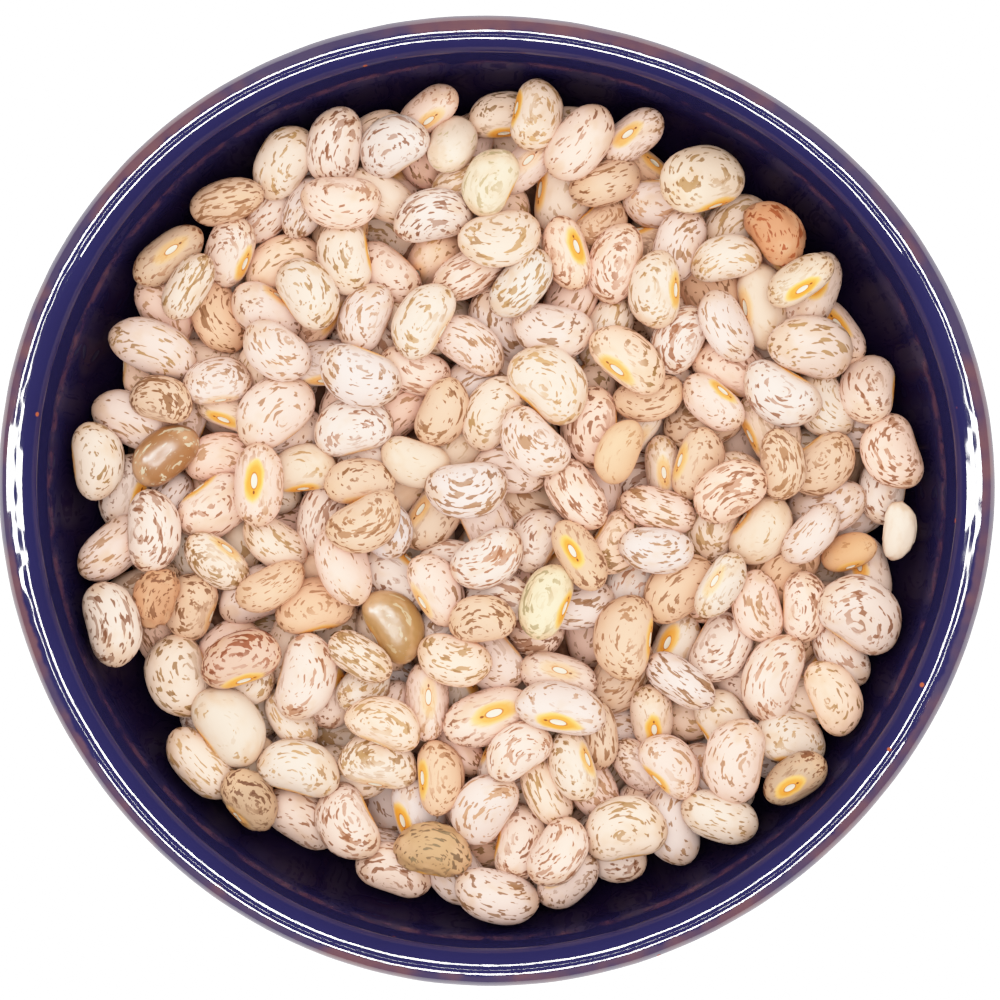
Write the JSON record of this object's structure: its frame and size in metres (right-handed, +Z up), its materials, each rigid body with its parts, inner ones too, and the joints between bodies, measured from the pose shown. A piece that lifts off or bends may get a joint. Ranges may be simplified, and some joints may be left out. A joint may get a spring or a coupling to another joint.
{
  "type": "bowl of dried beans",
  "caption": "Slightly uneven round glazed earthenware bowl on a low foot ring, heaped to near its rim with dried speckled pinto beans.",
  "frame": {"origin": "centre of the bowl's box at the level of its foot ring", "axes": "+Z up out of the bowl, +X along the bowl's longer way across the rim"},
  "size_m": [0.16, 0.156, 0.056],
  "materials": {
    "navy_glaze": "glossy dark navy glaze, thin and purple-brown on the outer half of the lip, bare terracotta under the foot",
    "pinto_bean": "cream to pinkish seed coat with olive-brown mottles, satin"
  },
  "bodies": {
    "root": {"bowl": "navy_glaze", "beans": "pinto_bean"}
  },
  "joints": []
}
